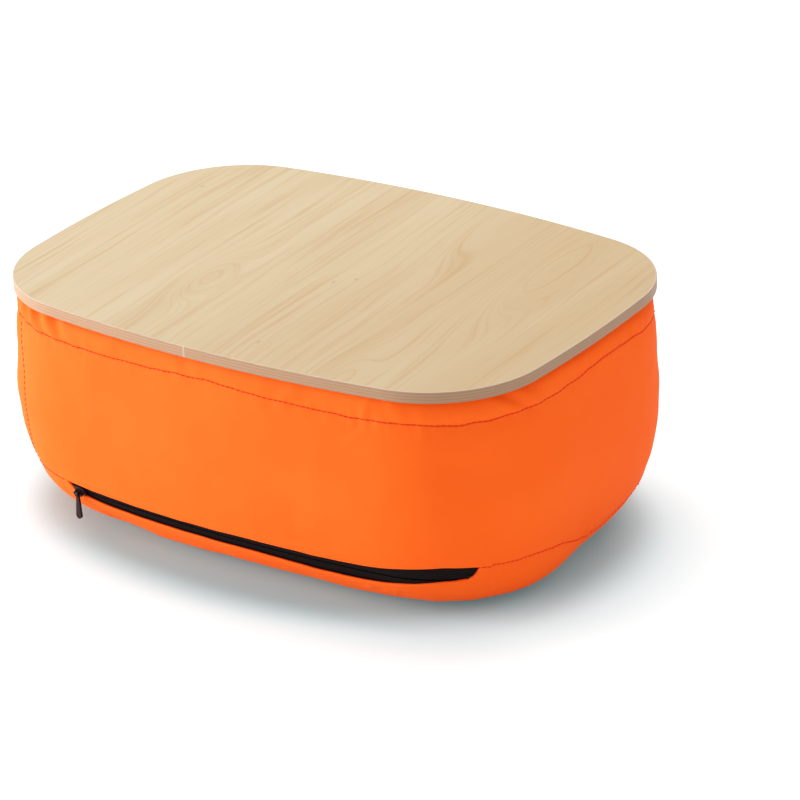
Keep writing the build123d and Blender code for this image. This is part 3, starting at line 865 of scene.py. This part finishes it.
def panel(name, node, low, high, bottom=False, top=False):
    """One panel of the cover: a sheet between two lines around the cushion, or closed at bottom or top."""
    around = column_places()
    low_line = low(around)
    high_line = high(around)
    length = float(np.median(high_line - low_line))
    share = row_places(length, bottom, top)[:, None] / length
    up = low_line + (high_line - low_line) * share
    lift = relief(around[None, :], up)
    if not bottom:
        lift = lift - rolled(up - low_line)
    if not top:
        lift = lift - rolled(high_line - up)
    grids = []
    for thickness in (0, cloth_thickness):
        points = cloth(around[None, :], up, lift - thickness)[0]
        if top:
            points[..., 2] = np.minimum(points[..., 2], shoulder_top - thickness)
        if bottom:
            points[..., 2] = np.maximum(points[..., 2], thickness)
        grids.append(capped(points, cap_rings, bottom, top))
    rows, columns = grids[0].shape[:2]
    count = rows * columns
    faces = band_faces(0, rows, columns) + band_faces(count, rows, columns, flip=True)
    for first, flip, closed in ((0, True, bottom), (count - columns, False, top)):
        if closed:
            faces.append(ring_face(first, columns, flip))
            faces.append(ring_face(count + first, columns, not flip))
        else:
            faces += rim_faces(first, count, columns, flip)
    piece = new_piece(name, grids, faces, cover_finish)
    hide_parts(node)
    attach(piece, "cushion")


def plain_weave():
    """Crossed threads: their relief, and how dark the gaps between them are."""
    group, given, result = new_group(
        "plain weave",
        [("Vector", "NodeSocketVector"), ("Pitch", "NodeSocketFloat")],
        [("Height", "NodeSocketFloat"), ("Shade", "NodeSocketFloat")],
    )
    turn = calc(group, "DIVIDE", 2 * pi, given.outputs["Pitch"])
    axes = add_node(group, "ShaderNodeSeparateXYZ", {0: given.outputs["Vector"]})
    waves = [calc(group, "SINE", calc(group, "MULTIPLY", axes.outputs[axis], turn)) for axis in "XYZ"]
    across = calc(group, "ADD", waves[0], waves[1])
    crossed = calc(group, "MULTIPLY", across, waves[2])
    uneven = cloud(group, stretched(group, given.outputs["Vector"], 700, 700, 700), 3.0)
    height = calc(group, "ADD", calc(group, "MULTIPLY", crossed, 0.25), uneven)
    group.links.new(height, result.inputs["Height"])
    group.links.new(span(group, height, 0.1, 0.9), result.inputs["Shade"])
    return group


weave_group = plain_weave()


def painted_glow(tree, shader):
    """Painted light: a red glow that only the camera sees keeps the red at full strength even in the shade.
    """
    seen = add_node(tree, "ShaderNodeLightPath").outputs["Is Camera Ray"]
    tree.links.new(mix(tree, seen, (0.0, 0.0, 0.0, 1.0), painted_red_glow), shader.inputs["Emission Color"])


def cover_cloth():
    fixed = {
        "Roughness": 0.72,
        "Sheen Weight": 0.03,
        "Sheen Roughness": 0.4,
        "Sheen Tint": shade(*cover_sheen),
        "Specular IOR Level": 0.15,
        "Emission Strength": painted_red_glow_strength,
    }
    finish, tree, shader = new_finish("orange_polyester", fixed)
    spot = place(tree)
    height, gaps = grouped(tree, weave_group, spot, weave_pitch)
    broad = cloud(tree, stretched(tree, spot, 18, 18, 18), 2.0)
    # Painted shade: the gaps between the threads are a deeper orange; the broad noise is uneven tone.
    tone = calc(tree, "MULTIPLY_ADD", gaps, -0.35, calc(tree, "ADD", broad, 0.2))
    colour = mix(tree, span(tree, tone, 0.1, 0.9), shade(*cover_orange), shade(*cover_deep))
    # Painted light: the cloth's red glow.
    painted_glow(tree, shader)
    surfaced(tree, shader, colour, height, weave_relief, 0.5)
    return finish


cover_finish = cover_cloth()
panel(
    "cover_top", "cover_top_panel",
    lambda around: top_line(around) + seam_half_gap, lambda around: np.full_like(around, dish_up),
    top=True,
)
panel(
    "cover_side", "cover_side_panel",
    lambda around: foot_line(around) + seam_half_gap, lambda around: top_line(around) - seam_half_gap,
)
panel(
    "cover_bottom", "cover_bottom_panel",
    np.zeros_like, lambda around: foot_line(around) - lip_gape(around) - seam_half_gap,
    bottom=True,
)

# The seams' stitches: orange-red thread, about 3.5 mm a stitch, lying in the grooves. The foot seam
# has none along the zipper, which is sewn in from behind.
thread_colour = (216, 74, 22)
stitch_pitch = 0.0035
stitch_length = 0.0027
stitch_radius = 0.0005
stitch_dive = 0.0007
stitch_clear = 0.003
corner_clear = 0.004
thread_sides = 6
twist_relief = 0.0001
# A stitch from end to end: places as shares of its length, and its radius there as a share.
stitch_places = (-0.5, -0.4, -0.15, 0.15, 0.4, 0.5)
stitch_widths = (0.35, 0.8, 1, 1, 0.8, 0.35)


def dimmed(colour, share):
    """A colour's light times a share."""
    return (*(min(1.0, value * share) for value in shade(*colour)[:3]), 1.0)


def thread():
    fixed = {"Roughness": 0.6, "Specular IOR Level": 0.3, "Emission Strength": painted_red_glow_strength}
    finish, tree, shader = new_finish("orange_thread", fixed)
    # Painted light: the thread has the same red glow.
    painted_glow(tree, shader)
    twist = cloud(tree, stretched(tree, place(tree), 3000, 3000, 3000), 1.0)
    colour = mix(tree, twist, shade(*thread_colour), dimmed(thread_colour, 0.6))
    surfaced(tree, shader, colour, twist, twist_relief)
    return finish


thread_finish = thread()


def tubes(name, paths, ups, radii, finish):
    """Round tubes: points and side directions by tube and by place, and a radius for each place."""
    along = np.gradient(paths, axis=1)
    along /= np.linalg.norm(along, axis=-1, keepdims=True)
    across = np.cross(along, ups)
    across /= np.linalg.norm(across, axis=-1, keepdims=True)
    outward = np.cross(across, along)
    turns = np.arange(thread_sides) * 2 * pi / thread_sides
    reach = radii[..., None, None]
    around = across[:, :, None] * np.cos(turns)[:, None] + outward[:, :, None] * np.sin(turns)[:, None]
    rings = paths[:, :, None] + around * reach
    count, places = paths.shape[:2]
    faces = []
    for tube in range(count):
        first = tube * places * thread_sides
        last = first + (places - 1) * thread_sides
        faces += band_faces(first, places, thread_sides)
        faces += [ring_face(first, thread_sides, flip=True), ring_face(last, thread_sides)]
    return new_piece(name, rings, faces, finish)


def stitches(name, node, places, line, along_seam):
    """A row of stitches along a seam, or up the corner; each dips into the cloth at its ends."""
    share = np.array(stitch_places)
    run = places[:, None] + share * stitch_length
    around, up = (run, line(run)) if along_seam else (line(run), run)
    lift = relief(around, up) - stitch_dive * (2 * share) ** 4
    points, normals = cloth(around, up, lift)
    radii = stitch_radius * np.array(stitch_widths)
    piece = tubes(name, points, normals, np.broadcast_to(radii, around.shape), thread_finish)
    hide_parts(node)
    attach(piece, "cushion")


stitches(
    "stitches_top", "seam_thread_top",
    np.arange(0, girth - stitch_pitch / 2, stitch_pitch), top_line, True,
)
stitches(
    "stitches_foot", "seam_thread_bottom",
    np.arange(lip_places[-1] + stitch_clear, girth + lip_places[0] - stitch_clear, stitch_pitch),
    foot_line, True,
)
stitches(
    "stitches_corner", "seam_thread_corner",
    np.arange(foot_seam_up + corner_clear, top_seam_up - stitch_clear, stitch_pitch),
    corner_seam_line, False,
)

# The zipper: two woven black tapes with their flat backs outward, the coils behind them, and small
# metal stops at the ends. It is sewn in under the foot seam.
zipper_black = (20, 12, 12)
zipper_grey = (30, 19, 19)
coil_black = (14, 13, 14)
stop_black = (16, 13, 14)
zipper_weave = 0.0008
zipper_relief = 0.0001
scuff_relief = 0.00002


def zipper_cloth():
    finish, tree, shader = new_finish("zipper_tape", {"Roughness": 0.8, "Specular IOR Level": 0.12})
    height, gaps = grouped(tree, weave_group, place(tree), zipper_weave)
    colour = mix(tree, gaps, shade(*zipper_grey), shade(*zipper_black))
    surfaced(tree, shader, colour, height, zipper_relief)
    return finish


def hard_finish(name, colour, roughness):
    """Cast or moulded, with faint mottling and small scuffs."""
    finish, tree, shader = new_finish(name, {"Specular IOR Level": 0.25})
    mottle = cloud(tree, stretched(tree, place(tree), 900, 900, 900), 4.0)
    mottled = mix(tree, span(tree, mottle, 0.5, 0.8), shade(*colour), dimmed(colour, 1.8))
    tree.links.new(calc(tree, "MULTIPLY_ADD", mottle, 0.3, roughness), shader.inputs["Roughness"])
    surfaced(tree, shader, mottled, mottle, scuff_relief)
    return finish


tape_finish = zipper_cloth()
coil_finish = hard_finish("zipper_coil", coil_black, 0.25)
stop_finish = hard_finish("zipper_stop", stop_black, 0.7)
for half in ("upper", "lower"):
    dress("zipper_tape_" + half, tape_finish)
    dress("zipper_coil_" + half, coil_finish)
    dress("zipper_top_stop_" + half, stop_finish)
dress("zipper_bottom_stop", stop_finish)

# The slider and its pull: cast zinc, painted a very dark plum. The pull hangs from the slider's bail.
plum = (46, 14, 20)
pull_finish = hard_finish("plum_paint", plum, 0.36)
dress("zipper_slider", pull_finish)
dress("zipper_pull", pull_finish)

# Inside the cover: a thin undyed liner in two halves, which holds the beads when the cover is off,
# and the beads themselves. Both are pressed in behind the zipper.
liner_white = (232, 229, 220)
bead_white = (244, 244, 242)
liner_seam_height = 0.062
liner_depth = 0.0034
liner_thickness = 0.0004
liner_weave = 0.0007
liner_relief = 0.00008
fill_depth = 0.0042
zipper_room = 0.0036
inside_columns = 180
inside_row = 0.005
inside_rings = (0.8, 0.5, 0.2, 0.02)
bead_size = 0.0035
bead_relief = 0.0015


def inside_piece(name, node, low, high, depths, finish):
    """A closed form inside the cover, pressed in behind the zipper: a solid, or a sheet."""
    around = np.arange(inside_columns) * girth / inside_columns
    up = np.linspace(low, high, max(4, round((high - low) / inside_row)))[:, None]
    grids = []
    for depth in depths:
        points = cloth(around[None, :], up, -depth - zipper_room * near_zipper(around[None, :], up))[0]
        grids.append(capped(points, inside_rings, low == 0, high == dish_up))
    count = len(grids[0]) * inside_columns
    last = count - inside_columns
    faces = []
    for layer in range(len(grids)):
        faces += band_faces(layer * count, len(grids[0]), inside_columns, flip=layer > 0)
        for first, closed in ((0, low == 0), (last, high == dish_up)):
            if closed:
                flip = first == 0 and layer == 0
                faces.append(ring_face(layer * count + first, inside_columns, flip))
            elif layer == 0:
                faces += rim_faces(first, count, inside_columns, first == 0)
    piece = new_piece(name, grids, faces, finish)
    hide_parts(node)
    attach(piece, "cushion")


def liner_cloth():
    finish, tree, shader = new_finish("undyed_liner", {"Roughness": 0.9})
    height, gaps = grouped(tree, weave_group, place(tree), liner_weave)
    # Painted shade: the gaps between the threads are darker.
    colour = mix(tree, gaps, dimmed(liner_white, 0.8), shade(*liner_white))
    surfaced(tree, shader, colour, height, liner_relief)
    return finish


def foam_beads():
    finish, tree, shader = new_finish("foam_beads", {"Roughness": 0.8})
    cells = {"Vector": place(tree), "Scale": 1 / bead_size}
    distance = add_node(tree, "ShaderNodeTexVoronoi", cells).outputs["Distance"]
    crown = span(tree, distance, 0.0, 0.6, 1.0, 0.0)
    # Painted shade: each bead darkens towards its edge, where it meets the next.
    colour = mix(tree, crown, dimmed(bead_white, 0.7), shade(*bead_white))
    surfaced(tree, shader, colour, crown, bead_relief)
    return finish


liner_finish = liner_cloth()
liner_depths = (liner_depth, liner_depth + liner_thickness)
liner_seam_up = up_at(liner_seam_height)
for name, node, low, high in (
    ("liner_top", "liner_upper", liner_seam_up, dish_up),
    ("liner_foot", "liner_lower", 0, liner_seam_up),
):
    inside_piece(name, node, low, high, liner_depths, liner_finish)
inside_piece("beads", "bead_fill", 0, dish_up, (fill_depth,), foam_beads())

# The set: a wide white floor that keeps the tray's soft shadow, a large soft lamp overhead, a lower one
# on the left and a pale sky all round. The floor is lifted to white away from the tray and less near it,
# a painted shadow round the tray. It is also a little cool beside the tray, against the orange light
# that the cushion throws.
floor_white = (0.86, 0.86, 0.86, 1.0)
floor_cool = (0.62, 0.80, 0.86, 1.0)
floor_shadow_lift = (0.06, 0.12, 0.13, 1.0)
floor_far = (0.40, 0.45, 0.46, 1.0)
floor_shadow_reach = (0.92, 1.2)
floor_clear = (1.0, 1.4)
floor_middle = (-0.032, -0.031, 0.0)
floor_half = 6.0
floor_gap = 0.0002
sky_strength = 0.38
top_lamp = ((-0.3, 0.35, 1.9), 1.4, 21.0)
side_lamp = ((-1.44, -0.87, 0.31), 0.9, 22.5)
lamp_target = Vector((0.0, 0.0, 0.08))


def white_floor():
    finish = bpy.data.materials.new("studio_floor")
    finish.use_nodes = True
    tree = finish.node_tree
    tree.nodes.clear()
    oval = stretched(tree, place(tree), 2 / cushion_length, 2 / cushion_width, 0)
    ends = {0: oval, 1: floor_middle}
    away = add_node(tree, "ShaderNodeVectorMath", ends, operation="DISTANCE").outputs["Value"]
    colour = mix(tree, span(tree, away, *floor_clear), floor_cool, floor_white)
    floor = add_node(tree, "ShaderNodeBsdfDiffuse", {"Color": colour})
    # Painted shadow: the lift to white is weaker near the tray, so the floor is darker round it.
    lift = mix(tree, span(tree, away, *floor_shadow_reach), floor_shadow_lift, floor_far)
    light = add_node(tree, "ShaderNodeEmission", {"Color": lift})
    path = add_node(tree, "ShaderNodeLightPath")
    seen = calc(tree, "MAXIMUM", path.outputs["Is Camera Ray"], path.outputs["Is Glossy Ray"])
    seen = calc(tree, "MAXIMUM", seen, path.outputs["Is Transmission Ray"])
    tree.links.new(seen, light.inputs["Strength"])
    both = add_node(tree, "ShaderNodeAddShader", {0: floor.outputs[0], 1: light.outputs[0]})
    add_node(tree, "ShaderNodeOutputMaterial", {"Surface": both.outputs[0]})
    return finish


floor_corners = np.array([(-1, -1, 0), (1, -1, 0), (1, 1, 0), (-1, 1, 0)]) * floor_half
floor_corners[:, 2] -= floor_gap
floor = new_piece("studio_floor", floor_corners, [[0, 1, 2, 3]], white_floor(), smooth=False)
floor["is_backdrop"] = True

scene = bpy.context.scene
scene.view_settings.view_transform = "Standard"
world = bpy.data.worlds.new("studio_sky")
world.use_nodes = True
world.node_tree.nodes.clear()
scene.world = world
sky_tree = world.node_tree
sky_path = add_node(sky_tree, "ShaderNodeLightPath")
sky_seen = [sky_path.outputs[kind] for kind in ("Is Camera Ray", "Is Transmission Ray")]
sky_level = span(sky_tree, calc(sky_tree, "MAXIMUM", *sky_seen), 0.0, 1.0, sky_strength, 1.0)
sky = add_node(sky_tree, "ShaderNodeBackground", {"Color": (1.0, 1.0, 1.0, 1.0), "Strength": sky_level})
add_node(sky_tree, "ShaderNodeOutputWorld", {"Surface": sky.outputs[0]})

for name, (position, size, power) in (("top_lamp", top_lamp), ("side_lamp", side_lamp)):
    lamp = bpy.data.lights.new(name, "AREA")
    lamp.shape = "DISK"
    lamp.size = size
    lamp.energy = power
    holder = bpy.data.objects.new(name, lamp)
    holder.location = position
    aim = lamp_target - Vector(position)
    holder.rotation_euler = aim.to_track_quat("-Z", "Y").to_euler()
    scene.collection.objects.link(holder)

# The camera stands in front and to the right, a little above, far enough back for a long lens.
camera_azimuth = radians(35.16)
camera_elevation = radians(24.92)
camera_roll = radians(-2.32)
camera_distance = 2.4153
camera_target = Vector((0.0423, 0.0034, 0.075))
image_pixels = 800
focal_pixels = 4099.8
sensor_width = 36.0

back = Vector(
    (
        sin(camera_azimuth) * cos(camera_elevation),
        -cos(camera_azimuth) * cos(camera_elevation),
        sin(camera_elevation),
    )
)
level = (-back).cross(Vector((0, 0, 1))).normalized()
upright = back.cross(level)
right = level * cos(camera_roll) + upright * sin(camera_roll)
image_up = upright * cos(camera_roll) - level * sin(camera_roll)
lens = bpy.data.cameras.new("camera")
lens.sensor_width = sensor_width
lens.lens = focal_pixels * sensor_width / image_pixels
camera = bpy.data.objects.new("camera", lens)
camera.matrix_world = Matrix.Translation(camera_target + back * camera_distance) @ Matrix(
    (right, image_up, back)
).transposed().to_4x4()
scene.collection.objects.link(camera)
scene.camera = camera

low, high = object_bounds()
